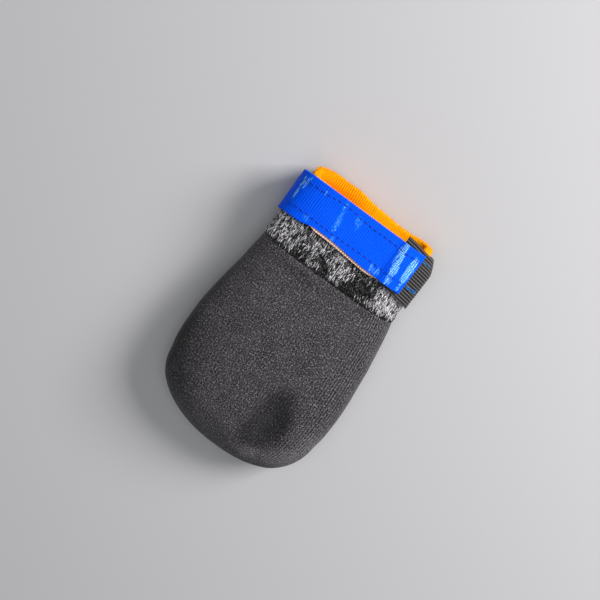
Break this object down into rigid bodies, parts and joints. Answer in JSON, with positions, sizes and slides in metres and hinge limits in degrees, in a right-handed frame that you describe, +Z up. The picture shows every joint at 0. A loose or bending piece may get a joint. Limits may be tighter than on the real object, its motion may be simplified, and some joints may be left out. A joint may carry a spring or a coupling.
{
  "type": "dog boot",
  "caption": "Soft pouch boot for a paw, with a rounded toe, a flat sole and a hook and loop strap round its open collar.",
  "frame": {"origin": "middle of the length and width, at the sole's lowest plane", "axes": "+Y from the toe to the open collar, +X to the right seen from above, +Z up from the sole"},
  "size_m": [0.0808, 0.1316, 0.0283],
  "materials": {
    "upper_knit": "coated knit, matt",
    "sole_knit": "coated knit with a dull grip layer",
    "loop_pile": "loop pile with a sheen",
    "cuff_tape": "ribbed binding tape",
    "elastic_webbing": "ribbed elastic",
    "hook_tape": "woven hook tape"
  },
  "bodies": {
    "root": {"upper": "upper_knit", "sole": "sole_knit", "pile_band": "loop_pile", "cuff_tape": "cuff_tape", "strap_elastic": "elastic_webbing", "strap_hook_tape": "hook_tape"}
  },
  "joints": []
}
